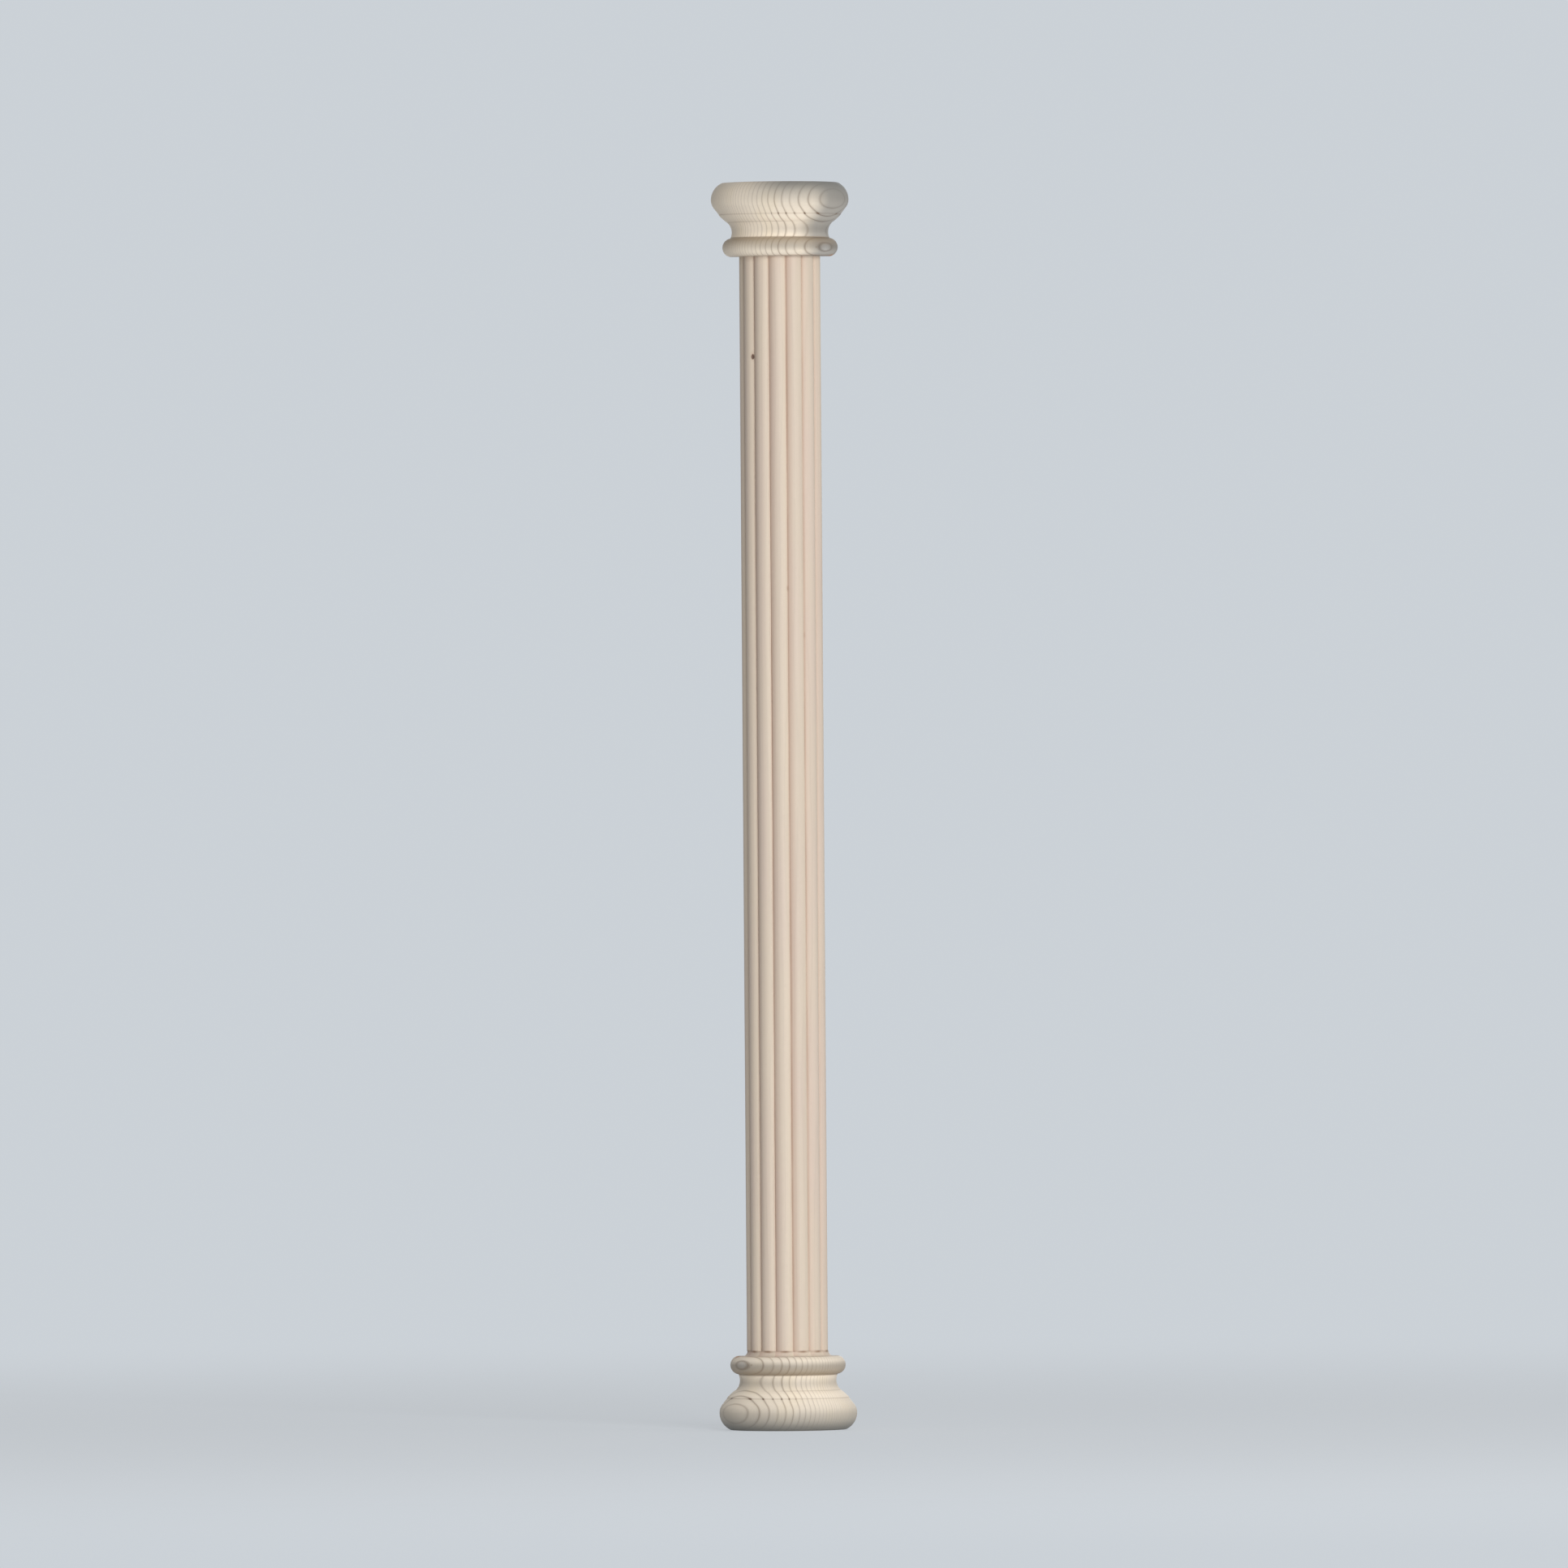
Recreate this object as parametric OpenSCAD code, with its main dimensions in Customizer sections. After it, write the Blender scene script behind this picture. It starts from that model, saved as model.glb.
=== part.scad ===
// A reeded half column (pilaster) in turned wood: a reeded half-round shaft between
// two half-turned blocks, the capital on its head and the base under its foot.
//
// Millimetres, +Z up. The flat back lies in the plane y = 0 and the front faces -Y.
// The origin is the middle of the foot's back edge, on the floor and on the wall.

/* [Overall] */
// Height of the whole pilaster, foot to head
total_h = 768; // [300:1:2400]
// Diameter of the half-round shaft over the crests of its reeds
shaft_d = 51; // [30:1:120]

/* [Reeds] */
// Number of reeds side by side on the half round
reed_n = 7; // [3:1:11]
// Depth of the sharp valleys between the reeds, under the crests
reed_depth = 2; // [1:0.1:3]

/* [Foot of the shaft] */
// Height of the plain ring on which the reeds end
ring_h = 3; // [1:0.25:8]
// How far the reeds' crests overhang the top of the ring
ring_recess = 0.5; // [0.2:0.1:1]
// How far the foot of the ring flares out past the reeds' crests
ring_flare = 1.6; // [0.5:0.1:3]

/* [Roll of the block] */
// How far the big roll stands out past the shaft
roll_out = 17; // [10:0.5:30]
// Height of the roll from the block's outer end to its widest line
roll_end_h = 10.5; // [7:0.25:16]
// Radius of the roll between its outer end and its widest line
roll_end_r = 11.5; // [9:0.25:20]
// Height of the roll from its widest line to the crease at the band
roll_band_h = 9.25; // [7:0.25:16]
// Radius of the roll between its widest line and its straight taper
roll_band_r = 8.25; // [6:0.25:11]
// Slope of the roll's straight taper, from upright
roll_taper = 38; // [30:1:45]

/* [Band of the block] */
// Height of the narrow band between its two creases
band_h = 4.75; // [3:0.25:8]
// How far the band's edge stands proud of the roll's taper, at the crease
band_lip = 0.25; // [0.1:0.05:0.6]
// How far the band bulges past a straight line between its creases
band_bulge = 0.25; // [0.1:0.05:0.6]

/* [Cove of the block] */
// How far the neck, the cove's narrowest line, stands out past the shaft
neck_out = 4.3; // [3:0.05:8]
// Radius of the hollow
cove_r = 8.25; // [7:0.05:12]
// Height from the crease at the band to the neck
cove_band_h = 6; // [3:0.25:6.5]

/* [Bead of the block] */
// How far the bead stands out past the shaft
bead_out = 10.1; // [8:0.1:14]
// Radius of the bead
bead_arc_r = 5.75; // [4:0.05:8]
// Height from the neck to the bead's widest line
neck_bead_h = 9.4; // [7:0.1:12]
// Height from the bead's widest line to the block's inner end
bead_end_h = 5.6; // [3:0.05:8]

/* [Hidden] */
$fn = 128;

// Neighbouring members of the block run into each other by this much, so that every
// crease between them is a clean crossing of two surfaces
overlap = 0.15;
// The roll's taper lies this far inside its arc, so that the two cross and don't just touch
taper_inset = 0.01;
// A slice between two heights reaches this far past the member that it cuts
slice_margin = 1;

// Heights of the lines on a block, from its outer end to the end that meets the shaft
widest_z = roll_end_h;
band_z = widest_z + roll_band_h;
cove_z = band_z + band_h;
neck_z = cove_z + cove_band_h;
bead_z = neck_z + neck_bead_h;
block_h = bead_z + bead_end_h;

// Height inside the bead at which the round that carries the cove gives way to the bead's own
bead_foot_z = bead_z - bead_arc_r / 2;

// Radii at those lines, from the column's axis
shaft_r = shaft_d / 2;
roll_r = shaft_r + roll_out;
neck_r = shaft_r + neck_out;
bead_r = shaft_r + bead_out;

// The taper leaves the roll's arc where the arc has turned through roll_taper
taper_r = roll_r - roll_band_r + (roll_band_r - taper_inset) * cos(roll_taper);
taper_z = widest_z + (roll_band_r - taper_inset) * sin(roll_taper);
function taper_at(z) = taper_r - (z - taper_z) * tan(roll_taper);
// The fill behind the taper stops at this radius on the widest line, well inside the arc
taper_fill_r = taper_r - roll_band_r / 2;

// Radius of the cove's surface at a height dz from its neck
function cove_at(dz) = neck_r + cove_r - sqrt(cove_r * cove_r - dz * dz);

// Radius of the arc that rises by sag over half a chord
function arc_radius(half, sag) = (half * half + sag * sag) / (2 * sag);

// Shaft
shaft_h = total_h - 2 * block_h;
reed_angle = 180 / reed_n;
valley_r = shaft_r - reed_depth;
reed_r = arc_radius(valley_r * sin(reed_angle / 2), shaft_r - valley_r * cos(reed_angle / 2));
reed_centre_r = shaft_r - reed_r;
ring_top_r = shaft_r - ring_recess;
ring_arc_r = arc_radius(ring_h, ring_recess + ring_flare);

// The part of its children between two heights, out to the radius reach
module slice_2d(z0, z1, reach) {
    intersection() {
        translate([0, z0]) square([reach, z1 - z0]);
        children();
    }
}

// The roll: two arcs that share the widest line, and a straight taper to the crease
module roll_2d() {
    slice_2d(0, widest_z, roll_r + slice_margin)
        translate([roll_r - roll_end_r, widest_z]) circle(r = roll_end_r);
    slice_2d(widest_z, band_z, roll_r + slice_margin)
        translate([roll_r - roll_band_r, widest_z]) circle(r = roll_band_r);
    square([roll_r - roll_end_r, widest_z + overlap]);
    polygon([
        [0, widest_z],
        [taper_fill_r, widest_z],
        [taper_r, taper_z],
        [taper_at(band_z + overlap), band_z + overlap],
        [0, band_z + overlap]
    ]);
}

// The band: a shallow bulge from its lip to the crease at the cove
module band_2d() {
    start = [taper_at(band_z) + band_lip, band_z];
    end = [cove_at(cove_band_h), cove_z];
    chord = end - start;
    bulge_r = arc_radius(norm(chord) / 2, band_bulge);
    out = [chord[1], -chord[0]] / norm(chord);
    slice_2d(band_z, neck_z, roll_r)
        translate((start + end) / 2 - out * (bulge_r - band_bulge)) circle(r = bulge_r);
}

// The cove, hollowed out of a plain round that ends inside the band and inside the bead
module cove_2d() {
    foot_z = cove_z - overlap;
    difference() {
        translate([0, foot_z]) square([neck_r + cove_r, bead_foot_z - foot_z]);
        translate([neck_r + cove_r, neck_z]) circle(r = cove_r);
    }
}

// The bead, cut off flat at the block's inner end
module bead_2d() {
    slice_2d(neck_z, block_h, bead_r + slice_margin)
        translate([bead_r - bead_arc_r, bead_z]) circle(r = bead_arc_r);
    translate([0, bead_foot_z - overlap])
        square([bead_r - bead_arc_r, block_h - bead_foot_z + overlap]);
}

// The round behind all four members
module core_2d() {
    square([shaft_r, block_h]);
}

// Half of a turned block, standing on its outer end
module half_block() {
    rotate_extrude(angle = 180, start = 180) {
        core_2d();
        roll_2d();
        band_2d();
        cove_2d();
        bead_2d();
    }
}

// Outline of the shaft: one circle a reed, meeting in sharp valleys, cut flat at the back
module reeded_outline() {
    intersection() {
        translate([-shaft_d, -shaft_d]) square([2 * shaft_d, shaft_d]);
        union() {
            circle(r = reed_centre_r);
            for (i = [0 : reed_n - 1])
                rotate(180 + reed_angle * (i + 0.5)) translate([reed_centre_r, 0]) circle(r = reed_r);
        }
    }
}

// The plain ring at the foot of the shaft, hollowed like a small cove
module ring_2d() {
    difference() {
        square([ring_top_r + ring_arc_r, ring_h]);
        translate([ring_top_r + ring_arc_r, ring_h]) circle(r = ring_arc_r);
    }
}

module shaft() {
    color("bisque") translate([0, 0, block_h]) {
        translate([0, 0, ring_h]) linear_extrude(height = shaft_h - ring_h) reeded_outline();
        rotate_extrude(angle = 180, start = 180) ring_2d();
    }
}

module base() {
    color("wheat") half_block();
}

// The capital is the base's twin, turned upside down
module capital() {
    color("wheat") translate([0, 0, total_h]) rotate([0, 180, 0]) half_block();
}

shaft();
capital();
base();
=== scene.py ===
"""A reeded half column (pilaster) in turned wood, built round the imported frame.

Three pieces stand for the three CAD nodes: the shaft, the base and the capital. Each is one
closed loft through level cross-sections, finer than the CAD solid and with eased arrises.
Sizes are in millimetres and the meshes in metres, in the frame's own axes: +Z up, the flat
back in the plane y = 0, the front towards -Y.
"""
import math

import bpy
from mathutils import Matrix, Vector, noise


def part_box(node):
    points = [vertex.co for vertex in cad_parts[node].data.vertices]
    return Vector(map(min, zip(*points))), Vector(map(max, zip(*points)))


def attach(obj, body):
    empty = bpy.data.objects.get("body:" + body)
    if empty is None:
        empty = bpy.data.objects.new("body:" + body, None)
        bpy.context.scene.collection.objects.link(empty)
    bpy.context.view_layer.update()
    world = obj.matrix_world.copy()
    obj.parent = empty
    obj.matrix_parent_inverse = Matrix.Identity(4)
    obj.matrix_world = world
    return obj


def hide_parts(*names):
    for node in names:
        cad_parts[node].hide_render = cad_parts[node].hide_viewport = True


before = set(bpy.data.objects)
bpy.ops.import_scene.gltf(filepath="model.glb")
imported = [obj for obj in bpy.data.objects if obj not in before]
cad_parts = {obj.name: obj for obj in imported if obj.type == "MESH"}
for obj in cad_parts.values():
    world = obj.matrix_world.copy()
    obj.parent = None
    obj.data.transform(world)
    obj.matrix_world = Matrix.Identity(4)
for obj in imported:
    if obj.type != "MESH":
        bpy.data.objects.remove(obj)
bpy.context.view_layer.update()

MM = 0.001

# ---------------------------------------------------------------------------------- sizes
# The turned block, member by member, from its outer end to the end that meets the shaft
ROLL_END_H = 10.5
ROLL_END_R = 11.5
ROLL_BAND_H = 9.25
ROLL_BAND_R = 8.25
ROLL_TAPER = math.radians(38)
BAND_H = 4.75
BAND_LIP = 0.25
BAND_BULGE = 0.25
NECK_OUT = 4.3
COVE_R = 8.25
COVE_BAND_H = 6.0
BEAD_OUT = 10.1
BEAD_R = 5.75
NECK_BEAD_H = 9.4

# The reeded shaft
SHAFT_R = 25.5
REEDS = 7
REED_DEPTH = 2.0
RING_H = 3.0
RING_RECESS = 0.5
REED_END_H = 0.15

# How far the arrises are eased
OUTER_EASE = 0.5
INNER_EASE = 0.9
BACK_EASE = 0.3

# How finely each line of a block's profile is divided
ROLL_END_STEPS = 30
ROLL_BAND_STEPS = 18
TAPER_STEPS = 6
BAND_STEPS = 10
COVE_STEPS = 30
BEAD_STEPS = 34

# An edge between faces that meet more steeply than this stays sharp
SHARP_ANGLE = math.radians(28)

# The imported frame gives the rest
roll_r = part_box("base")[1].x / MM
block_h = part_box("base")[1].z / MM
total_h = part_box("capital")[1].z / MM
ring_foot_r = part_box("shaft")[1].x / MM

widest_z = ROLL_END_H
band_z = widest_z + ROLL_BAND_H
cove_z = band_z + BAND_H
neck_z = cove_z + COVE_BAND_H
bead_z = neck_z + NECK_BEAD_H
neck_r = SHAFT_R + NECK_OUT
bead_r = SHAFT_R + BEAD_OUT
valley_r = SHAFT_R - REED_DEPTH
reed_angle = math.pi / REEDS


# --------------------------------------------------------------------------------- meshes
def polar(radius, angle):
    """A point of the plan at an angle from the front, positive towards +X."""
    return Vector((radius * math.sin(angle), -radius * math.cos(angle)))


def arc(centre, radius, start, end, steps):
    """Points along an arc, both ends included."""
    angles = [start + (end - start) * i / steps for i in range(steps + 1)]
    return [centre + radius * Vector((math.cos(a), math.sin(a))) for a in angles]


def eased(before, corner, after, reach, steps=4):
    """Points that round a corner off, from one place at this reach from it to the other."""
    first = corner + (before - corner).normalized() * reach
    last = corner + (after - corner).normalized() * reach
    shares = [i / steps for i in range(steps + 1)]
    return [first.lerp(corner, t).lerp(corner.lerp(last, t), t) for t in shares]


def inner_crossing(centre_a, radius_a, centre_b, radius_b):
    """Of the two points where two circles cross, the one nearer the column's axis."""
    apart = centre_b - centre_a
    along = (apart.length_squared + radius_a**2 - radius_b**2) / (2 * apart.length)
    across = math.sqrt(radius_a**2 - along**2)
    way = apart.normalized()
    middle = centre_a + way * along
    side = Vector((-way.y, way.x)) * across
    return min(middle + side, middle - side, key=lambda p: p.x)


def angle_of(point, centre):
    """Direction from a centre to a point, from 0 to a full turn."""
    return math.atan2(point.y - centre.y, point.x - centre.x) % math.tau


def block_profile():
    """The half block's outline as (radius, height) points, from its outer end inwards."""
    end_centre = Vector((roll_r - ROLL_END_R, widest_z))
    band_centre = Vector((roll_r - ROLL_BAND_R, widest_z))
    end_arc = arc(end_centre, ROLL_END_R, -math.asin(widest_z / ROLL_END_R), 0, ROLL_END_STEPS)
    band_arc = arc(band_centre, ROLL_BAND_R, 0, ROLL_TAPER, ROLL_BAND_STEPS)
    taper_start = band_arc[-1]
    taper_end = Vector((taper_start.x - (band_z - taper_start.y) * math.tan(ROLL_TAPER), band_z))

    lip = taper_end + Vector((BAND_LIP, 0))
    cove_centre = Vector((neck_r + COVE_R, neck_z))
    band_end = Vector((cove_centre.x - math.sqrt(COVE_R**2 - COVE_BAND_H**2), cove_z))
    swell = Vector((band_end.y - lip.y, lip.x - band_end.x)).normalized() * BAND_BULGE
    shares = [i / BAND_STEPS for i in range(BAND_STEPS + 1)]
    band = [lip.lerp(band_end, t) + swell * 4 * t * (1 - t) for t in shares]

    bead_centre = Vector((bead_r - BEAD_R, bead_z))
    crease = inner_crossing(cove_centre, COVE_R, bead_centre, BEAD_R)
    cove_start, cove_stop = angle_of(band_end, cove_centre), angle_of(crease, cove_centre)
    cove = arc(cove_centre, COVE_R, cove_start, cove_stop, COVE_STEPS)
    bead_start = angle_of(crease, bead_centre) - math.tau
    bead_stop = math.asin((block_h - bead_z) / BEAD_R)
    bead = arc(bead_centre, BEAD_R, bead_start, bead_stop, BEAD_STEPS)

    # An arc's direction at its end is taken this many steps along it
    along = 3
    outer_rim = eased(Vector((0, 0)), end_arc[0], end_arc[along], OUTER_EASE)
    inner_rim = eased(bead[-1 - along], bead[-1], Vector((0, block_h)), INNER_EASE)
    taper = [taper_start.lerp(taper_end, (i + 1) / TAPER_STEPS) for i in range(TAPER_STEPS)]
    bead_body = [p for p in bead[1:] if (p - bead[-1]).length > INNER_EASE]
    end_body = [p for p in end_arc if (p - end_arc[0]).length > OUTER_EASE]
    return outer_rim + end_body + band_arc[1:] + taper + band + cove[1:] + bead_body + inner_rim


def closed_half(front, height, back_steps=16):
    """A level loop: its front from left to right, eased back corners and a flat back."""
    left, right = Vector((front[0].x, 0)), Vector((front[-1].x, 0))
    centre = Vector((0, 0))
    inner = front[1:-1]
    left_corner = eased(centre, left, inner[0], BACK_EASE)
    right_corner = eased(inner[-1], right, centre, BACK_EASE)
    back = [right_corner[-1].lerp(left_corner[0], i / back_steps) for i in range(1, back_steps)]
    return [Vector((p.x, p.y, height)) * MM for p in left_corner + inner + right_corner + back]


def loft(name, loops, material):
    """A closed mesh through loops of equal length, counterclockwise from above and going up."""
    count = len(loops[0])
    points = [p for loop in loops for p in loop]
    faces = []
    for row in range(len(loops) - 1):
        low, high = row * count, (row + 1) * count
        for i in range(count):
            j = (i + 1) % count
            faces.append((low + i, low + j, high + j, high + i))
    faces.append(tuple(reversed(range(count))))
    faces.append(tuple(range(len(points) - count, len(points))))
    mesh = bpy.data.meshes.new(name)
    mesh.from_pydata(points, [], faces)
    mesh.validate()
    mesh.materials.append(material)
    mesh.shade_smooth()
    mesh.set_sharp_from_angle(angle=SHARP_ANGLE)
    made = bpy.data.objects.new(name, mesh)
    bpy.context.scene.collection.objects.link(made)
    return made


def turned_block(name, material, front_steps=176):
    """Half of a turned block, standing on its outer end."""
    angles = [math.pi * (i / front_steps - 0.5) for i in range(front_steps + 1)]
    loops = [closed_half([polar(p.x, a) for a in angles], p.y) for p in block_profile()]
    return loft(name, loops, material)


# ------------------------------------------------------------------------------ the shaft
# A small torn nick on the edge of the second reed, and how ragged its outline is
NICK_VALLEY = 2
NICK_Z = 660.6
NICK_SIDE = 0.9
NICK_WIDTH = 0.85
NICK_HEIGHT = 1.5
NICK_DEPTH = 0.9
NICK_RAGGED = 0.35
NICK_RAGGED_DETAIL = 1.7

# Two faint knots down in the valleys: which valley, how high, how strong
KNOTS = ((4, 518.0, 0.55), (5, 489.0, 0.4))

# How far the valleys wander sideways and in depth, and the length over which they do
WANDER_SIDE = 0.16
WANDER_DEPTH = 0.12
WANDER_LENGTH = 130.0

# Where the noise for them is read: how far apart the valleys are in it, and at which level.
# The nick has a level only
SIDE_NOISE = (3.7, 0.5)
DEPTH_NOISE = (5.1, 7.5)
NICK_NOISE = 2.5

# The shaft's rows: how many lie below the nick, how far apart they are above it and close
# to it, and how far from it that closeness goes
ROWS_BELOW_NICK = 150
ROW_GAP = 4.0
NICK_ROW_GAP = 0.2
NICK_ROW_REACH = 2.6


def valley_angle(number):
    """Angle from the front of a valley, counted from the left back corner."""
    return -math.pi / 2 + reed_angle * number


def valley_point(number, height):
    """Where a valley lies at a height, in plan."""
    if number in (0, REEDS):
        return polar(valley_r, valley_angle(number))
    place = height / WANDER_LENGTH
    side = noise.noise(Vector((place, SIDE_NOISE[0] * number, SIDE_NOISE[1]))) * WANDER_SIDE
    depth = noise.noise(Vector((place, DEPTH_NOISE[0] * number, DEPTH_NOISE[1]))) * WANDER_DEPTH
    return polar(valley_r + depth, valley_angle(number) + side / valley_r)


def reed_points(number, height, steps=18):
    """One reed's arc from its left valley to its right one, with points crowded by the valleys."""
    left, right = valley_point(number, height), valley_point(number + 1, height)
    middle = (left + right) / 2
    half = (right - left).length / 2
    way = middle.normalized()
    rise = SHAFT_R - middle.length
    radius = (half**2 + rise**2) / (2 * rise)
    centre = middle + way * (rise - radius)
    spread = math.asin(half / radius)
    outward = math.atan2(way.y, way.x)
    shares = [math.sin(math.pi / 2 * (2 * i / steps - 1)) for i in range(steps + 1)]
    turned = [outward + spread * share for share in shares]
    return [centre + radius * Vector((math.cos(a), math.sin(a))) for a in turned]


def nicked(point, height):
    """A point of the shaft's front, pushed in where the nick is."""
    along = polar(1, valley_angle(NICK_VALLEY) + math.pi / 2)
    inward = -polar(1, valley_angle(NICK_VALLEY))
    centre = valley_point(NICK_VALLEY, height) - along * NICK_SIDE
    across = (point - centre).dot(along) / NICK_WIDTH
    up = (height - NICK_Z) / NICK_HEIGHT
    place = Vector((across * NICK_RAGGED_DETAIL, up * NICK_RAGGED_DETAIL, NICK_NOISE))
    ragged = 1 + NICK_RAGGED * noise.noise(place)
    near = max(0.0, 1 - (across**2 + up**2) * ragged)
    return point + inward * NICK_DEPTH * math.sqrt(near)


def reeded_front(height):
    """The reeds' outline at a height, left to right."""
    points = [valley_point(0, height)]
    for number in range(REEDS):
        points += reed_points(number, height)[1:]
    return [nicked(p, height) for p in points]


def shaft_heights():
    """Heights of the rows above the ring, close together by the nick."""
    foot = block_h + RING_H + REED_END_H
    head = total_h - block_h
    low, high = NICK_Z - NICK_ROW_REACH, NICK_Z + NICK_ROW_REACH
    below = [foot + (low - foot) * i / ROWS_BELOW_NICK for i in range(ROWS_BELOW_NICK)]
    across = [low + NICK_ROW_GAP * i for i in range(round((high - low) / NICK_ROW_GAP))]
    rest = round((head - high) / ROW_GAP)
    above = [high + (head - high) * i / rest for i in range(rest + 1)]
    return below + across + above


def ring_profile(steps=12):
    """The hollow ring at the shaft's foot as (radius, height) points, from its foot up."""
    top_r = SHAFT_R - RING_RECESS
    flare = ring_foot_r - top_r
    radius = (RING_H**2 + flare**2) / (2 * flare)
    centre = Vector((top_r + radius, block_h + RING_H))
    start = math.pi + math.asin(RING_H / radius)
    return arc(centre, radius, start, math.pi, steps)


def reeded_shaft(name, material):
    """The shaft on its ring, from the base's top to the capital's underside."""
    heights = shaft_heights()
    front = reeded_front(heights[0])
    angles = [math.atan2(p.x, -p.y) for p in front]
    loops = []
    for p in ring_profile():
        loops.append(closed_half([polar(p.x, a) for a in angles], p.y))
    for height in heights:
        loops.append(closed_half(reeded_front(height), height))
    return loft(name, loops, material)


# ------------------------------------------------------------------------------ materials
class Graph:
    """The node tree of a material or a world, with a short method for each kind of node."""

    def __init__(self, owner):
        owner.use_nodes = True
        self.owner = owner
        self.tree = owner.node_tree
        self.tree.nodes.clear()

    def node(self, kind, inputs=None, **settings):
        made = self.tree.nodes.new(kind)
        for key, value in settings.items():
            setattr(made, key, value)
        for key, value in (inputs or {}).items():
            if isinstance(value, bpy.types.NodeSocket):
                self.tree.links.new(value, made.inputs[key])
            else:
                made.inputs[key].default_value = value
        return made

    def math(self, operation, *values, clamp=False):
        inputs = dict(enumerate(values))
        return self.node("ShaderNodeMath", inputs, operation=operation, use_clamp=clamp).outputs[0]

    def add(self, a, b):
        return self.math("ADD", a, b)

    def subtract(self, a, b):
        return self.math("SUBTRACT", a, b)

    def multiply(self, a, b):
        return self.math("MULTIPLY", a, b)

    def largest(self, a, b):
        return self.math("MAXIMUM", a, b)

    def scaled(self, value, factor, base):
        """The value times a factor, on top of a base."""
        return self.math("MULTIPLY_ADD", value, factor, base)

    def vector(self, operation, a, b=(0, 0, 0)):
        made = self.node("ShaderNodeVectorMath", {0: a, 1: b}, operation=operation)
        return made.outputs["Value" if operation in ("LENGTH", "DOT_PRODUCT", "DISTANCE") else "Vector"]

    def join(self, x=0.0, y=0.0, z=0.0):
        return self.node("ShaderNodeCombineXYZ", {0: x, 1: y, 2: z}).outputs[0]

    def split(self, vector):
        return self.node("ShaderNodeSeparateXYZ", {0: vector}).outputs

    def coordinate(self, kind):
        return self.node("ShaderNodeTexCoord").outputs[kind]

    def place(self):
        """The surface point in the piece's own axes, in mm."""
        return self.vector("MULTIPLY", self.coordinate("Object"), (1 / MM,) * 3)

    def noise(self, vector, per_mm, detail=2.0, roughness=0.5):
        """Noise from -0.5 to 0.5, with this many features a mm along each axis."""
        inputs = {"Vector": self.vector("MULTIPLY", vector, per_mm), "Scale": 1.0}
        inputs |= {"Detail": detail, "Roughness": roughness}
        return self.subtract(self.node("ShaderNodeTexNoise", inputs).outputs[0], 0.5)

    def smooth(self, value, start, end, low=0.0, high=1.0):
        """A soft step from low to high as the value goes from start to end."""
        inputs = {"Value": value, "From Min": start, "From Max": end, "To Min": low, "To Max": high}
        return self.node("ShaderNodeMapRange", inputs, interpolation_type="SMOOTHSTEP").outputs[0]

    def peak(self, value, centre, below, above=None):
        """1 at the centre, falling softly to 0 at these reaches below and above it."""
        rise = self.smooth(value, centre - below, centre, 0.0, 1.0)
        fall = self.smooth(value, centre, centre + (above or below), 1.0, 0.0)
        return self.multiply(rise, fall)

    def spot(self, vector, centre, radii):
        """1 at a point, falling softly to 0 on the ellipsoid with these radii round it."""
        away = self.vector("SUBTRACT", vector, tuple(centre))
        away = self.vector("DIVIDE", away, radii)
        return self.smooth(self.vector("LENGTH", away), 0.0, 1.0, 1.0, 0.0)

    def mix(self, share, a, b, blend="MIX"):
        inputs = {0: share, 6: a, 7: b}
        return self.node("ShaderNodeMix", inputs, data_type="RGBA", blend_type=blend).outputs[2]

    def shade(self, tint, factor):
        """The colour times a plain factor."""
        grey = self.node("ShaderNodeCombineColor", {0: factor, 1: factor, 2: factor}).outputs[0]
        return self.mix(1.0, tint, grey, "MULTIPLY")

    def curve(self, value, stops):
        """A smooth curve through (place, height) stops."""
        made = self.node("ShaderNodeValToRGB", {0: value})
        ramp = made.color_ramp
        ramp.interpolation = "EASE"
        for spare in list(ramp.elements)[1:]:
            ramp.elements.remove(spare)
        ramp.elements[0].position = stops[0][0]
        ramp.elements[0].color = (stops[0][1],) * 3 + (1,)
        for position, height in stops[1:]:
            ramp.elements.new(position).color = (height,) * 3 + (1,)
        return made.outputs[0]


def colour(red, green, blue):
    return (red, green, blue, 1.0)


# Wood, and the painted light and shade on it, as linear colours
EARLY_WOOD = colour(0.93, 0.82, 0.675)
WARM_WOOD = colour(0.93, 0.80, 0.60)
LATE_TINT = colour(0.47, 0.42, 0.385)
# Painted shade: the grey of a block's side by the bullseye
SHADE_SIDE_GREY = colour(0.42, 0.395, 0.355)
# Painted shade: the outer end of a block greyed and darkened
END_SHADE_GREY = colour(0.245, 0.236, 0.214)
BEAD_HEART = colour(0.80, 0.79, 0.76)
# Painted shade: brown on the bead by the cove
CREASE_SHADE_BROWN = colour(0.31, 0.235, 0.155)
# Painted shade: the dark of the creases
CREASE_SHADE = colour(0.20, 0.13, 0.085)
STAIN = colour(0.52, 0.25, 0.11)
PIN_KNOT = colour(0.33, 0.23, 0.14)
SHAFT_WOOD = colour(0.68, 0.56, 0.465)
SHAFT_WARM = colour(0.67, 0.565, 0.455)
# Painted shade on each reed's left flank
FLANK_SHADE = colour(0.60, 0.425, 0.335)
# Painted light on each reed's right edge
EDGE_LIGHT = colour(0.715, 0.61, 0.485)
# Painted shade in the valleys between the reeds
VALLEY_SHADE = colour(0.47, 0.315, 0.235)
# Painted shadow under the feet of the reeds
FOOT_SHADOW = colour(0.30, 0.185, 0.12)
# Painted shade round the nick
NICK_RIM_SHADE = colour(0.50, 0.31, 0.20)
# Painted shade inside the nick
NICK_CORE_SHADE = colour(0.11, 0.05, 0.03)
SHAFT_KNOT = colour(0.36, 0.22, 0.14)

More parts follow.
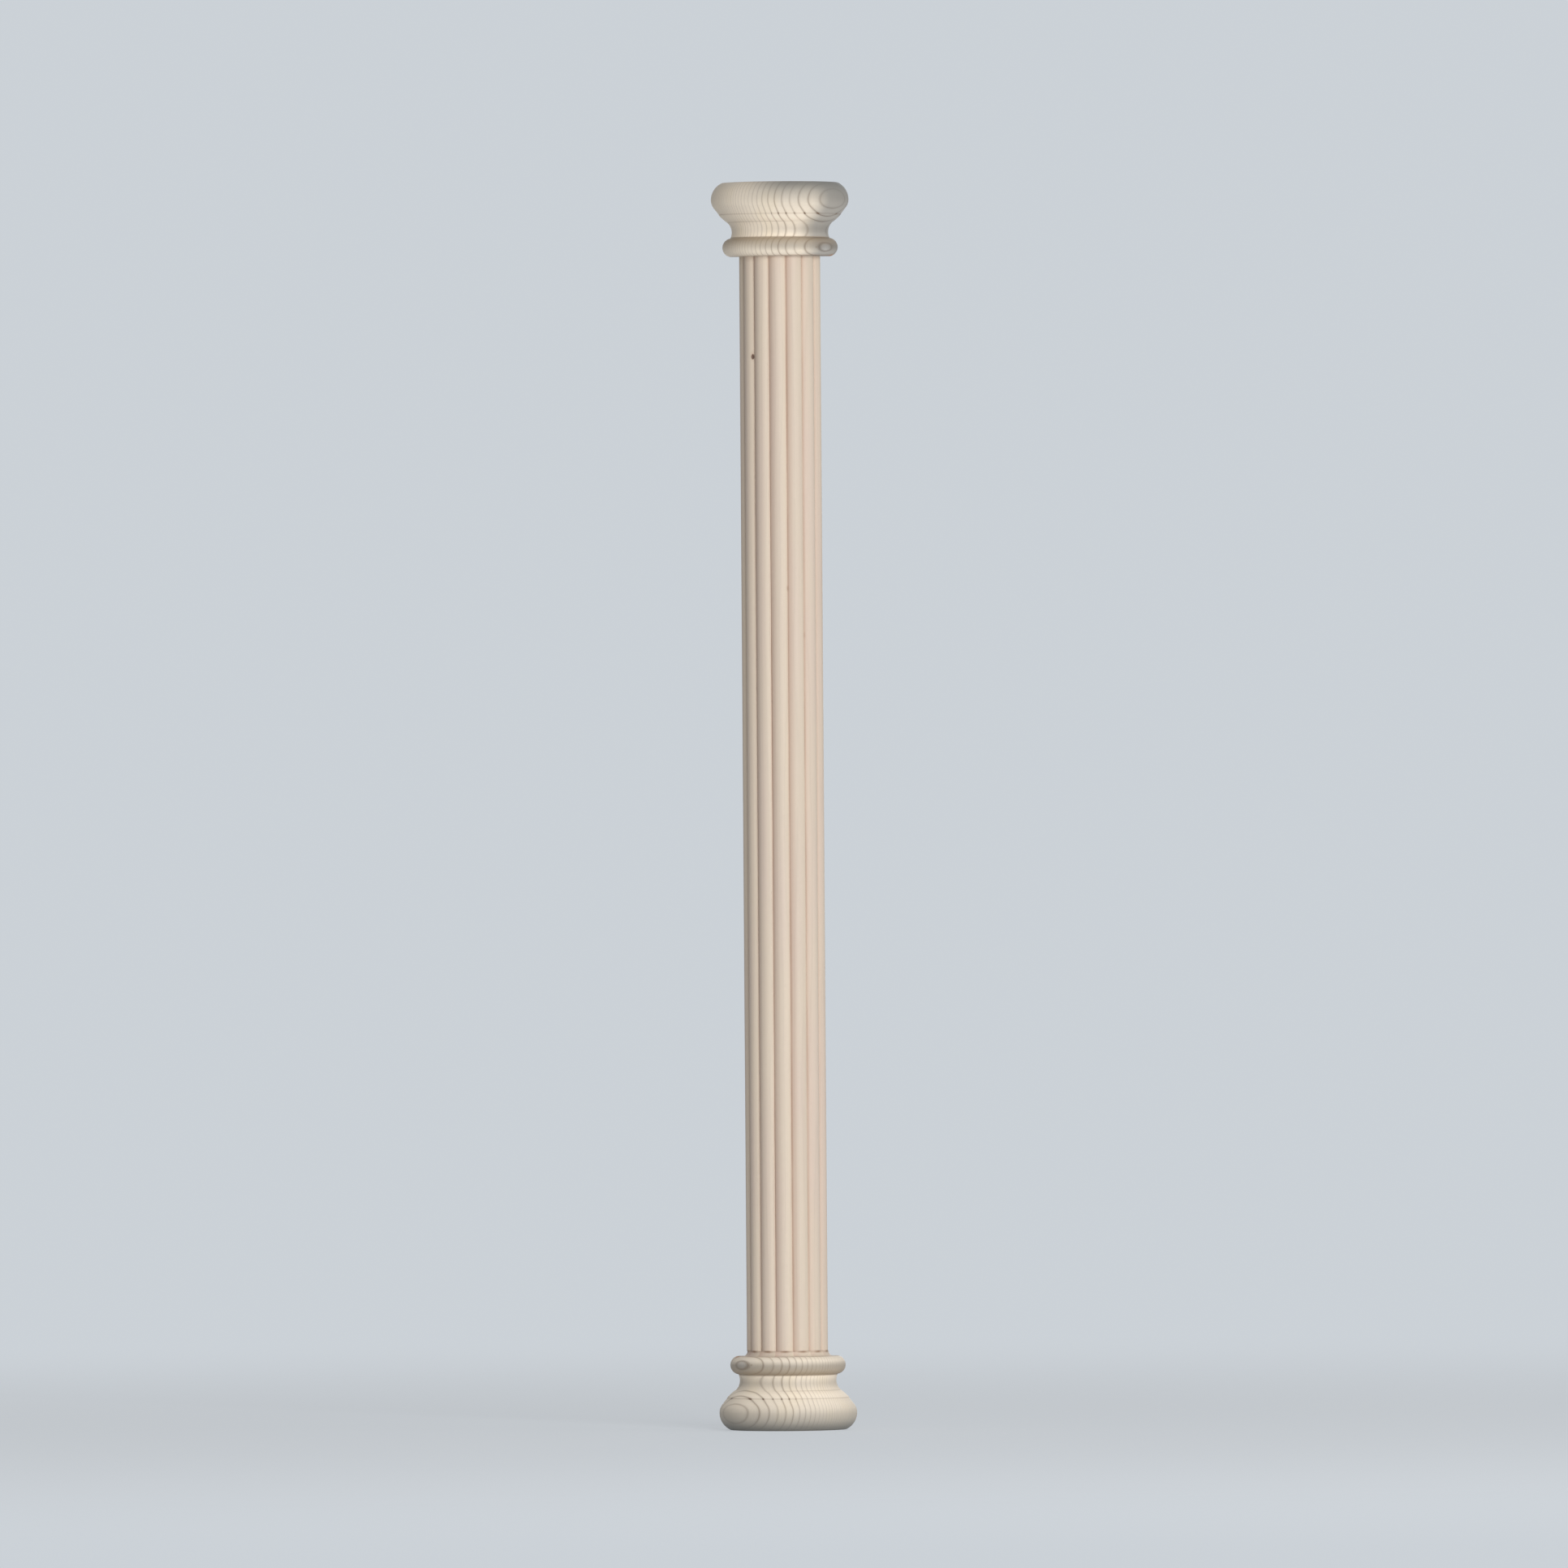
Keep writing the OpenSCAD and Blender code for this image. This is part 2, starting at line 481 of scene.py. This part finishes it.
# The year rings of the blocks: flat enough that their centre lies far out in front of the
# bullseye, leaning a little, and about 3 to 4 mm wide near it
RING_CENTRE = 650.0
RING_LEAN = -0.071
RING_START = 0.40
RINGS_PER_MM = 0.31
RINGS_PER_MM2 = -0.0035
RINGS_PER_MM3 = 0.00008
RING_WAVER = 0.7
RING_WAVER_NOISE = (0.07, 0.07, 0.03)

# A year ring's darkness from its inner edge to its outer one: late wood ends each year
LATE_LINE = (
    (0.0, 0.9),
    (0.07, 0.5),
    (0.15, 0.08),
    (0.26, 0.0),
    (0.70, 0.0),
    (0.88, 0.15),
    (0.96, 0.65),
    (1.0, 0.9),
)
YEAR_WEAKEST = 0.6

# The shaft's faint year rings: their centre in plan, how many a mm, how they waver, their tone
SHAFT_RING_CENTRE = (-70.0, 45.0, 0.0)
SHAFT_RINGS_PER_MM = 0.42
SHAFT_RING_WAVER = 9.0
SHAFT_RING_WAVER_NOISE = (0.06, 0.06, 0.004)
SHAFT_RING_TONE = -0.05

# The grain as noise, in features a mm along x, y and z: the fibres, the fine grain and the
# slow drift, and how much each of the three changes the tone
TURNED_GRAIN = ((1.6, 1.6, 0.05), (5.0, 5.0, 0.16), (0.045, 0.045, 0.02))
TURNED_TONES = (0.10, 0.06, 0.10)
REEDED_GRAIN = ((1.8, 1.8, 0.018), (6.0, 6.0, 0.10), (0.05, 0.05, 0.008))
REEDED_TONES = (0.09, 0.05, 0.08)

# Other noise, in features a mm along x, y and z
WARM_PATCHES = (0.08, 0.08, 0.05)
VALLEY_PATCHES = (0.2, 0.2, 0.02)
PORES = (2.6, 2.6, 0.1)
LATHE_LINES = (1.0, 1.0, 2.4)
BLOCK_SAW_LINES = (0.04, 0.04, 1.1)
SHAFT_SAW_LINES = (0.04, 0.04, 0.9)

# How detailed and how rough a noise is
WOODY = (3.0, 0.6)
FINE = (2.0, 0.6)
COARSE = (3.0, 0.7)

# Soft steps over the depth under a block's bullseye, as (from, to, value before, value after)
DEEP_RINGS = (18.0, 42.0, 1.0, 0.5)
COVE_LINE_STEP = (14.0, 24.0, 0.0, 1.0)
BAND_DOTS_STEP = (19.0, 30.0, 1.5, 0.2)
RUST_RIM_STEP = (14.0, 26.0, 1.0, 0.15)

# The same over the distance before the bullseye, the count of rings, noise and the height
BEHIND_RINGS = (-9.0, 1.0, 0.7, 1.0)
FIRST_RING = (0.45, 0.9, 0.0, 1.0)
WARM_STEP = (0.0, 0.25, 0.0, 0.35)
# This step sets the painted shade of the outer end over the height
END_SHADE_STEP = (0.0, 17.0, 0.95, 0.0)

# The painted shade that greys the wood reaches this far before the bullseye, and the painted shade by
# height fades over these depths
SHADE_SIDE_REACH = (3.0, 20.0)
AWAY_DEPTHS = (15.0, 48.0)

# Marks along a block's height, as (how far below, how far above, how strong)
# Painted shade darkens the roll, the bead and the cove, and painted light makes the band paler, in the
# next five lines
SHADED_ROLL = (6.0, 7.0, -0.16)
SHADED_BEAD = (5.0, 4.0, -0.35)
LIT_BAND = (3.6, 3.6, 0.13)
SHADED_COVE = (5.0, 5.0, -0.26)
SHADED_COVE_DROP = 1.5
RUST_RIM = (0.7, 0.7, 0.5)
# Brown painted shade on the bead by the cove
BEAD_SHADE_MARK = (1.0, 9.0, 0.80)
# Painted shade along the three creases, and dots of it where late wood crosses the first
BAND_LINE = (0.45, 0.45, 0.26)
COVE_LINE = (0.45, 0.45, 0.24)
BEAD_LINE = (0.6, 0.8, 0.32)
BAND_DOTS = (1.0, 1.0, 1.1)

# Spots on the bead: how far they are from the bullseye's angle, how far in from the bead's
# widest line and above it, or below the block's inner end, and their reach along x, y and z
BEAD_HEART_RADII = (9.0, 9.0, 5.5)
BEAD_HEART_SHARE = 0.6
STAIN_TURN = math.radians(-24)
STAIN_INWARD = 4.0
STAIN_DROP = 0.3
STAIN_RADII = (7.0, 7.0, 1.6)
KNOT_TURN = math.radians(14)
KNOT_RISE = 0.6
KNOT_RADII = (1.3, 1.3, 0.9)
KNOT_SHARE = 0.5

# Soft steps on the shaft, as (from, to, value before, value after). The first is over the
# angle from the front, the next three are over a reed, from 0 at its left valley to 1 at its
# right one, and the last two are over noise
# These steps shape the painted shade and light on the reeds; the first makes the painted shade weaker
# towards the lit right
RIGHTWARD_STEP = (math.radians(15), math.radians(60), 1.0, 0.4)
FLANK_STEP = (0.0, 0.5, 0.55, 0.0)
EDGE_STEP = (0.55, 0.95, 0.0, 0.7)
DEEP_SIDE_STEP = (0.3, 0.7, 1.0, 0.4)
DRIFT_STEP = (-0.15, 0.15, 0.0, 1.0)
PATCHY_STEP = (-0.2, 0.2, 0.5, 1.0)
VALLEY_REACH = 0.9
VALLEY_SHARE = 0.95

# The painted shadow under the reeds: its reach below and above, where on a reed it is strongest and
# how far from there it fades, how much stronger it is there, and its strength elsewhere
FOOT_REACH = (1.5, 1.0)
FOOT_CREST = (0.55, 0.4)
FOOT_CREST_SHARE = 0.65
FOOT_SHARE = 0.25

# The painted shade in and round the nick, and the colour of the knots: how far out from the valley, how
# large, how strong
NICK_OUT = 0.6
NICK_RIM_RISE = 0.6
NICK_RIM_RADII = (2.2, 2.2, 4.5)
NICK_RIM_SHARE = 0.35
NICK_CORE_RADII = (1.55, 1.55, 2.4)
NICK_CORE_STEP = (0.05, 0.5, 0.0, 0.92)
SHAFT_KNOT_OUT = 0.5
SHAFT_KNOT_RADII = (1.1, 1.1, 3.0)

# End grain and the sawn back are duller and rougher than the worked wood
END_GRAIN_TONE = 0.81
PORE_TONE = 0.3
BACK_TONE = -0.05
ROUGHNESS = 0.57
ROUGHNESS_RANGE = 0.14
SAWN_ROUGHER = 0.14
SPECULAR = 0.35

# How far a face leans to the back, or up or down, before it starts to count as the back or
# as an end, and before it fully does
BACK_FACING = (0.7, 0.95)
END_FACING = (0.93, 0.99)

# How much the bump stands up, in mm
LATHE_MARKS = 0.03
SAW_MARKS = 0.06
FINE_GRAIN = 0.02


def side_masks(g):
    """Masks of the faces of a piece: its flat back, its level ends, and all else."""
    normal = g.split(g.coordinate("Normal"))
    back = g.smooth(normal[1], *BACK_FACING)
    ends = g.smooth(g.math("ABSOLUTE", normal[2]), *END_FACING)
    return back, ends, g.subtract(1.0, g.largest(back, ends))


def wood_grain(g, p, scales, strengths, painted_light_level):
    """The fibres, the fine grain and the slow drift of the wood, and the tone they make."""
    fibre = g.noise(p, scales[0], *WOODY)
    fine = g.noise(p, scales[1], *FINE)
    drift = g.noise(p, scales[2])
    # The tone starts from the given level, which for the two blocks differs as painted light
    tone = g.scaled(fibre, strengths[0], painted_light_level)
    tone = g.scaled(fine, strengths[1], tone)
    tone = g.scaled(drift, strengths[2], tone)
    return fibre, fine, drift, tone


def sawn_tone(g, p, tone, back, ends):
    """The tone with darker, dotted end grain, and a back that is a little duller."""
    pores = g.scaled(g.noise(p, PORES, *COARSE), PORE_TONE, END_GRAIN_TONE)
    tone = g.multiply(tone, g.scaled(ends, g.subtract(pores, 1.0), 1.0))
    return g.multiply(tone, g.scaled(back, BACK_TONE, 1.0))


def wood_shader(g, tint, fine, height, sawn):
    """Ends the material in a plain wood shader. The height of the bump is in mm."""
    roughness = g.scaled(fine, ROUGHNESS_RANGE, ROUGHNESS)
    roughness = g.scaled(sawn, SAWN_ROUGHER, roughness)
    relief = g.multiply(height, MM)
    bump = g.node("ShaderNodeBump", {"Height": relief, "Distance": 1.0, "Strength": 1.0})
    shader = g.node("ShaderNodeBsdfPrincipled", {
        "Base Color": tint,
        "Roughness": roughness,
        "Normal": bump.outputs[0],
        "Specular IOR Level": SPECULAR,
    })
    g.node("ShaderNodeOutputMaterial", {0: shader.outputs[0]})
    return g.owner


def crease_height():
    """Height of the crease between the cove and the bead."""
    cove_centre = Vector((neck_r + COVE_R, neck_z))
    bead_centre = Vector((bead_r - BEAD_R, bead_z))
    return inner_crossing(cove_centre, COVE_R, bead_centre, BEAD_R).y


def year_rings(g, p, bullseye):
    """Three facts about a point of a block.

    They are its depth under the bullseye, square to the year rings, how far it lies before
    the bullseye, on the side of the front, and how dark its late wood is.
    """
    x, y, z = g.split(p)
    centre = polar(RING_CENTRE, bullseye)
    away = g.vector("DISTANCE", g.join(x, y), (*centre, 0))
    depth = g.subtract(away, RING_CENTRE - roll_r)
    depth = g.scaled(g.subtract(z, widest_z), RING_LEAN, depth)
    depth = g.scaled(g.noise(p, RING_WAVER_NOISE), RING_WAVER, depth)
    rings = g.scaled(depth, RINGS_PER_MM3, RINGS_PER_MM2)
    rings = g.scaled(depth, rings, RINGS_PER_MM)
    rings = g.scaled(depth, rings, RING_START)

    # Each year is as strong as chance has it, and the lines are fainter deep down and past
    # the bullseye, towards the back
    line = g.curve(g.math("FRACT", rings), LATE_LINE)
    number = g.math("FLOOR", g.add(rings, 0.5))
    year = g.node("ShaderNodeTexWhiteNoise", {"W": number}, noise_dimensions="1D").outputs[0]
    line = g.multiply(line, g.scaled(year, 1 - YEAR_WEAKEST, YEAR_WEAKEST))
    line = g.multiply(line, g.smooth(depth, *DEEP_RINGS))
    line = g.multiply(line, g.smooth(rings, *FIRST_RING))
    before = g.vector("DOT_PRODUCT", p, (math.cos(bullseye), math.sin(bullseye), 0))
    line = g.multiply(line, g.smooth(before, *BEHIND_RINGS))
    return depth, before, line


def along_height(g, z, centre, mark):
    """How strong a mark is at a height."""
    below, above, strength = mark
    return g.multiply(g.peak(z, centre, below, above), strength)


def pine_with_shade_side(g, p, before, line, bullseye, shade_side_share):
    """Pale early wood, warm in places, grey from the bullseye back as painted shade, and dark late
    wood.
    """
    wood = g.mix(g.smooth(g.noise(p, WARM_PATCHES, detail=1.0), *WARM_STEP), EARLY_WOOD, WARM_WOOD)
    # Painted shade greys the wood from the bullseye back
    wood = g.mix(g.smooth(before, *SHADE_SIDE_REACH, shade_side_share, 0.0), wood, SHADE_SIDE_GREY)
    bead_heart = g.spot(p, (*polar(bead_r, bullseye), bead_z), BEAD_HEART_RADII)
    wood = g.mix(g.multiply(bead_heart, BEAD_HEART_SHARE), wood, BEAD_HEART)
    return g.mix(line, wood, LATE_TINT, "MULTIPLY")


def painted_shade_by_height(g, z, wood, tone, height_shade_share, turned):
    """The wood and the tone with painted shade and light by height.

    The outer end is greyed and the two proud rounds and the cove are darker as painted shade,
    the band is paler as painted light, and brown painted shade lies on the bead by the cove.
    """
    # Painted shade greys and darkens the outer end
    wood = g.mix(g.multiply(g.smooth(z, *END_SHADE_STEP), height_shade_share), wood, END_SHADE_GREY)
    # Brown painted shade on the bead by the cove
    bead_shade = along_height(g, z, crease_height(), BEAD_SHADE_MARK)
    wood = g.mix(g.multiply(bead_shade, turned), wood, CREASE_SHADE_BROWN)
    # Painted shade on the two rounds and in the cove, and painted light on the band
    change = along_height(g, z, widest_z, SHADED_ROLL)
    change = g.add(change, along_height(g, z, bead_z, SHADED_BEAD))
    change = g.add(change, along_height(g, z, neck_z - SHADED_COVE_DROP, SHADED_COVE))
    change = g.add(change, along_height(g, z, (band_z + cove_z) / 2, LIT_BAND))
    return wood, g.scaled(change, height_shade_share, tone)


def crease_shade_lines(g, z, depth, line):
    """Painted shade in the creases, darkest where late wood crosses the one between roll and band."""
    band_line = along_height(g, z, band_z, BAND_LINE)
    bead_line = along_height(g, z, crease_height(), BEAD_LINE)
    cove_line = along_height(g, z, cove_z, COVE_LINE)
    cove_line = g.multiply(cove_line, g.smooth(depth, *COVE_LINE_STEP))
    dots = g.multiply(along_height(g, z, band_z, BAND_DOTS), line)
    dots = g.multiply(dots, g.smooth(depth, *BAND_DOTS_STEP))
    return g.largest(g.largest(g.largest(band_line, bead_line), cove_line), dots)


def stained_rim(g, p, z, wood, depth, turned, bullseye):
    """The wood with a rust-brown stain on the inner rim and a pin knot on the bead."""
    place = polar(bead_r - STAIN_INWARD, bullseye + STAIN_TURN)
    stain = g.spot(p, (*place, block_h - STAIN_DROP), STAIN_RADII)
    rim = g.multiply(along_height(g, z, block_h, RUST_RIM), g.smooth(depth, *RUST_RIM_STEP))
    wood = g.mix(g.largest(stain, g.multiply(rim, turned)), wood, STAIN)
    place = polar(bead_r, bullseye + KNOT_TURN)
    knot = g.spot(p, (*place, bead_z + KNOT_RISE), KNOT_RADII)
    return g.mix(g.multiply(knot, KNOT_SHARE), wood, PIN_KNOT)


def turned_wood(name, bullseye, shade_side_share, painted_light_level, away_height_shade):
    """Pale turned pine, its year rings cut so that they open into a bullseye at that angle.

    The three values after the angle say how much painted shade greys the wood from the bullseye
    back, the tone of the whole block, which differs between the blocks as painted light, and the
    share of the painted shade by height that is left far from the bullseye.
    """
    g = Graph(bpy.data.materials.new(name))
    p = g.place()
    z = g.split(p)[2]
    back, ends, turned = side_masks(g)
    depth, before, line = year_rings(g, p, bullseye)
    _, fine, _, tone = wood_grain(g, p, TURNED_GRAIN, TURNED_TONES, painted_light_level)

    wood = pine_with_shade_side(g, p, before, line, bullseye, shade_side_share)
    # How strong the painted shade by height is: full by the bullseye and the given share far from it
    height_shade_share = g.multiply(turned, g.smooth(depth, *AWAY_DEPTHS, 1.0, away_height_shade))
    wood, tone = painted_shade_by_height(g, z, wood, tone, height_shade_share, turned)
    # Painted shade in the creases
    wood = g.mix(g.multiply(crease_shade_lines(g, z, depth, line), turned), wood, CREASE_SHADE)
    wood = stained_rim(g, p, z, wood, depth, turned, bullseye)
    wood = g.shade(wood, sawn_tone(g, p, tone, back, ends))

    # Lathe marks run round the block, and saw marks run across its back
    lathe = g.noise(g.join(z=z), LATHE_LINES, *COARSE)
    saw = g.noise(p, BLOCK_SAW_LINES, *FINE)
    height = g.multiply(g.multiply(lathe, LATHE_MARKS), turned)
    height = g.scaled(g.multiply(saw, SAW_MARKS), back, height)
    height = g.scaled(line, FINE_GRAIN, height)
    height = g.scaled(fine, FINE_GRAIN, height)
    return wood_shader(g, wood, fine, height, g.largest(back, ends))


def reed_painted_shading(g, p, plan, turn, across, wood, planed):
    """The wood with painted shade, redder, on each reed's left flank, painted light, creamier, on its
    right one, and painted shade in the valleys.
    """
    # Painted shade on the left flanks, weaker towards the lit right of the shaft, and painted light on
    # the right edges
    rightward = g.smooth(turn, *RIGHTWARD_STEP)
    flank = g.multiply(g.smooth(across, *FLANK_STEP), rightward)
    wood = g.mix(g.multiply(flank, planed), wood, FLANK_SHADE)
    edge = g.smooth(across, *EDGE_STEP)
    wood = g.mix(g.multiply(edge, planed), wood, EDGE_LIGHT)

    # Reddish-brown painted shade down in the valleys, mostly on the left flank's side and less towards
    # the lit right, stronger in some places
    outward = g.vector("LENGTH", plan)
    deep = g.smooth(outward, valley_r, valley_r + VALLEY_REACH, VALLEY_SHARE, 0.0)
    deep = g.multiply(g.multiply(deep, g.smooth(across, *DEEP_SIDE_STEP)), rightward)
    deep = g.multiply(deep, g.smooth(g.noise(p, VALLEY_PATCHES), *PATCHY_STEP))
    return g.mix(g.multiply(deep, planed), wood, VALLEY_SHADE)


def foot_shadow(g, z, across):
    """Brown painted shadow under the feet of the reeds, most under their crests."""
    foot = g.peak(z, block_h + RING_H, *FOOT_REACH)
    return g.multiply(foot, g.scaled(g.peak(across, *FOOT_CREST), FOOT_CREST_SHARE, FOOT_SHARE))


def nick_shade_and_knots(g, p, wood):
    """The wood with painted shade in the nick, dark brown inside a soft brown rim, and with the faint
    knots.
    """
    nick = polar(valley_r + NICK_OUT, valley_angle(NICK_VALLEY) - NICK_SIDE / valley_r)
    # Painted shade round and in the nick
    rim = g.spot(p, (*nick, NICK_Z + NICK_RIM_RISE), NICK_RIM_RADII)
    wood = g.mix(g.multiply(rim, NICK_RIM_SHARE), wood, NICK_RIM_SHADE)
    core = g.spot(p, (*nick, NICK_Z), NICK_CORE_RADII)
    wood = g.mix(g.smooth(core, *NICK_CORE_STEP), wood, NICK_CORE_SHADE)
    for valley, height, share in KNOTS:
        place = polar(valley_r + SHAFT_KNOT_OUT, valley_angle(valley))
        knot = g.spot(p, (*place, height), SHAFT_KNOT_RADII)
        wood = g.mix(g.multiply(knot, share), wood, SHAFT_KNOT)
    return wood


def reeded_wood(name):
    """Pinkish, nearly plain wood, with reddish-brown painted shade in the valleys between the reeds."""
    g = Graph(bpy.data.materials.new(name))
    p = g.place()
    x, y, z = g.split(p)
    plan = g.join(x, y)
    back, ends, planed = side_masks(g)

    # Faint year rings seen edge on, a few mm apart, drifting along the shaft
    away = g.vector("DISTANCE", plan, SHAFT_RING_CENTRE)
    away = g.scaled(g.noise(p, SHAFT_RING_WAVER_NOISE), SHAFT_RING_WAVER, away)
    line = g.curve(g.math("FRACT", g.multiply(away, SHAFT_RINGS_PER_MM)), LATE_LINE)
    fibre, fine, drift, tone = wood_grain(g, p, REEDED_GRAIN, REEDED_TONES, 1.0)
    tone = g.scaled(line, SHAFT_RING_TONE, tone)
    wood = g.mix(g.smooth(drift, *DRIFT_STEP), SHAFT_WOOD, SHAFT_WARM)

    # The angle from the front, and how far across its reed a point lies, left to right
    turn = g.math("ARCTAN2", x, g.multiply(y, -1.0))
    across = g.math("FRACT", g.scaled(turn, 1 / reed_angle, REEDS / 2))
    wood = reed_painted_shading(g, p, plan, turn, across, wood, planed)
    # Painted shadow under the reeds' feet
    wood = g.mix(g.multiply(foot_shadow(g, z, across), planed), wood, FOOT_SHADOW)
    wood = nick_shade_and_knots(g, p, wood)
    wood = g.shade(wood, sawn_tone(g, p, tone, back, ends))

    # Saw marks run across the back
    saw = g.noise(p, SHAFT_SAW_LINES, *FINE)
    height = g.multiply(g.multiply(saw, SAW_MARKS), back)
    height = g.scaled(fine, FINE_GRAIN, height)
    height = g.scaled(fibre, FINE_GRAIN, height)
    return wood_shader(g, wood, fine, height, back)


# --------------------------------------------------------------------------------- pieces
# Where each block's bullseye faces, in its own axes, how much painted shade greys its wood from
# there back, the tone of the whole block, which differs between the blocks as painted light, and
# the share of the painted shade by height that is left far from the bullseye
BASE_BULLSEYE = math.radians(-48)
# The capital's wood is greyed by painted shade on its bullseye side, the base's is not
BASE_SHADE_SIDE = 0.0
# The two blocks' tones differ as painted light
BASE_LIGHT_LEVEL = 0.94
BASE_AWAY_HEIGHT_SHADE = 1.0
CAPITAL_BULLSEYE = math.radians(-58)
CAPITAL_SHADE_SIDE = 0.95
CAPITAL_LIGHT_LEVEL = 1.0
CAPITAL_AWAY_HEIGHT_SHADE = 0.2

base_wood = turned_wood("turned_pine_base", BASE_BULLSEYE, BASE_SHADE_SIDE, BASE_LIGHT_LEVEL, BASE_AWAY_HEIGHT_SHADE)
base = turned_block("turned_base", base_wood)
capital_wood = turned_wood(
    "turned_pine_capital", CAPITAL_BULLSEYE, CAPITAL_SHADE_SIDE, CAPITAL_LIGHT_LEVEL, CAPITAL_AWAY_HEIGHT_SHADE
)
capital = turned_block("turned_capital", capital_wood)
# The capital is a block turned upside down about the line of sight
capital.matrix_world = Matrix.Translation((0, 0, total_h * MM)) @ Matrix.Rotation(math.pi, 4, "Y")
shaft = reeded_shaft("reeded_shaft", reeded_wood("reeded_wood"))

for piece, node, slot in (
    (base, "base", "turned_wood"),
    (capital, "capital", "turned_wood"),
    (shaft, "shaft", "shaft_wood"),
):
    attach(piece, "root")
    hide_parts(node)

# ----------------------------------------------------------------------- floor and backdrop
BACKDROP = colour(0.60, 0.64, 0.68)
FLOOR = colour(0.90, 0.93, 0.965)
AMBIENT_LIGHT = colour(1.0, 1.0, 1.0)
AMBIENT = 0.35

# How much of the backdrop's colour the floor has as it is seen, how far the floor goes, and
# the distances from the middle over which it fades out, in metres
FLOOR_PLAIN = 0.6
FLOOR_RADIUS = 3.0
FLOOR_FADE = (0.3, 2.2)
FLOOR_SIDES = 96


def plain_rays(g):
    """1 for a ray that meets the plain backdrop: from the camera, off a gloss or through glass."""
    rays = g.node("ShaderNodeLightPath").outputs
    seen = g.add(rays["Is Camera Ray"], rays["Is Glossy Ray"])
    return g.math("ADD", seen, rays["Is Transmission Ray"], clamp=True)


def pale_floor():
    """A floor that fades into the backdrop at its edge, and keeps the object's shadow."""
    g = Graph(bpy.data.materials.new("pale_floor"))
    away = g.vector("LENGTH", g.coordinate("Object"))
    matt = g.node("ShaderNodeBsdfDiffuse", {0: FLOOR})
    plain = g.node("ShaderNodeEmission", {"Color": BACKDROP, "Strength": 1.0})
    clear = g.node("ShaderNodeBsdfTransparent")
    share = g.multiply(plain_rays(g), FLOOR_PLAIN)
    pale = g.node("ShaderNodeMixShader", {0: share, 1: matt.outputs[0], 2: plain.outputs[0]})
    gone = g.smooth(away, *FLOOR_FADE)
    both = g.node("ShaderNodeMixShader", {0: gone, 1: pale.outputs[0], 2: clear.outputs[0]})
    g.node("ShaderNodeOutputMaterial", {0: both.outputs[0]})
    return g.owner


def studio_world():
    """Even, plain light from all round, and the pale backdrop behind it."""
    g = Graph(bpy.data.worlds.new("studio"))
    ambient = g.node("ShaderNodeBackground", {"Color": AMBIENT_LIGHT, "Strength": AMBIENT})
    seen = g.node("ShaderNodeBackground", {"Color": BACKDROP, "Strength": 1.0})
    both = g.node("ShaderNodeMixShader", {0: plain_rays(g), 1: ambient.outputs[0], 2: seen.outputs[0]})
    g.node("ShaderNodeOutputWorld", {0: both.outputs[0]})
    return g.owner


bpy.ops.mesh.primitive_circle_add(vertices=FLOOR_SIDES, radius=FLOOR_RADIUS, fill_type="NGON")
floor = bpy.context.object
floor.name = "floor"
floor.data.materials.append(pale_floor())
bpy.context.scene.world = studio_world()

# --------------------------------------------------------------------------------- lights
# How far out the lamps stand, how high, and how wide they are, in metres
LAMP_DISTANCE = 4.0
LAMP_HEIGHT = 1.0
LAMP_SIDE = 1.8
middle = Vector((0, 0, total_h * MM / 2))


def soft_light(name, azimuth, power):
    """A big square lamp that faces the middle of the column, out past the floor."""
    lamp = bpy.data.lights.new(name, "AREA")
    lamp.size = LAMP_SIDE
    lamp.energy = power
    made = bpy.data.objects.new(name, lamp)
    bpy.context.scene.collection.objects.link(made)
    turn = math.radians(azimuth)
    way = Vector((math.sin(turn), -math.cos(turn), 0))
    made.location = way * LAMP_DISTANCE + Vector((0, 0, LAMP_HEIGHT))
    made.rotation_mode = "QUATERNION"
    made.rotation_quaternion = (middle - made.location).to_track_quat("-Z", "Y")


soft_light("key", azimuth=25, power=109.0)
soft_light("side", azimuth=75, power=10.0)
soft_light("back", azimuth=180, power=20.0)

# --------------------------------------------------------------------------------- camera
# A long lens far off, a few degrees to the right of the front, rolled a hair so that the
# column leans as it does in the picture. The view is this wide where the column stands, and
# the camera looks level from this height, in metres. The sensor is in mm
CAMERA_AZIMUTH = math.radians(5.3)
CAMERA_ROLL = math.radians(0.41)
CAMERA_DISTANCE = 13.0
VIEW_WIDTH = 0.966
VIEW_HEIGHT = 0.3976
SENSOR = 36.0

camera_data = bpy.data.cameras.new("camera")
camera_data.sensor_width = SENSOR
camera_data.lens = SENSOR * CAMERA_DISTANCE / VIEW_WIDTH
camera = bpy.data.objects.new("camera", camera_data)
bpy.context.scene.collection.objects.link(camera)
back_way = Vector((math.sin(CAMERA_AZIMUTH), -math.cos(CAMERA_AZIMUTH), 0))
camera.location = Vector((0, 0, VIEW_HEIGHT)) + back_way * CAMERA_DISTANCE
camera.rotation_mode = "QUATERNION"
level = (-back_way).to_track_quat("-Z", "Y")
camera.rotation_quaternion = level @ Matrix.Rotation(-CAMERA_ROLL, 4, "Z").to_quaternion()
bpy.context.scene.camera = camera

bpy.context.scene.view_settings.view_transform = "Standard"
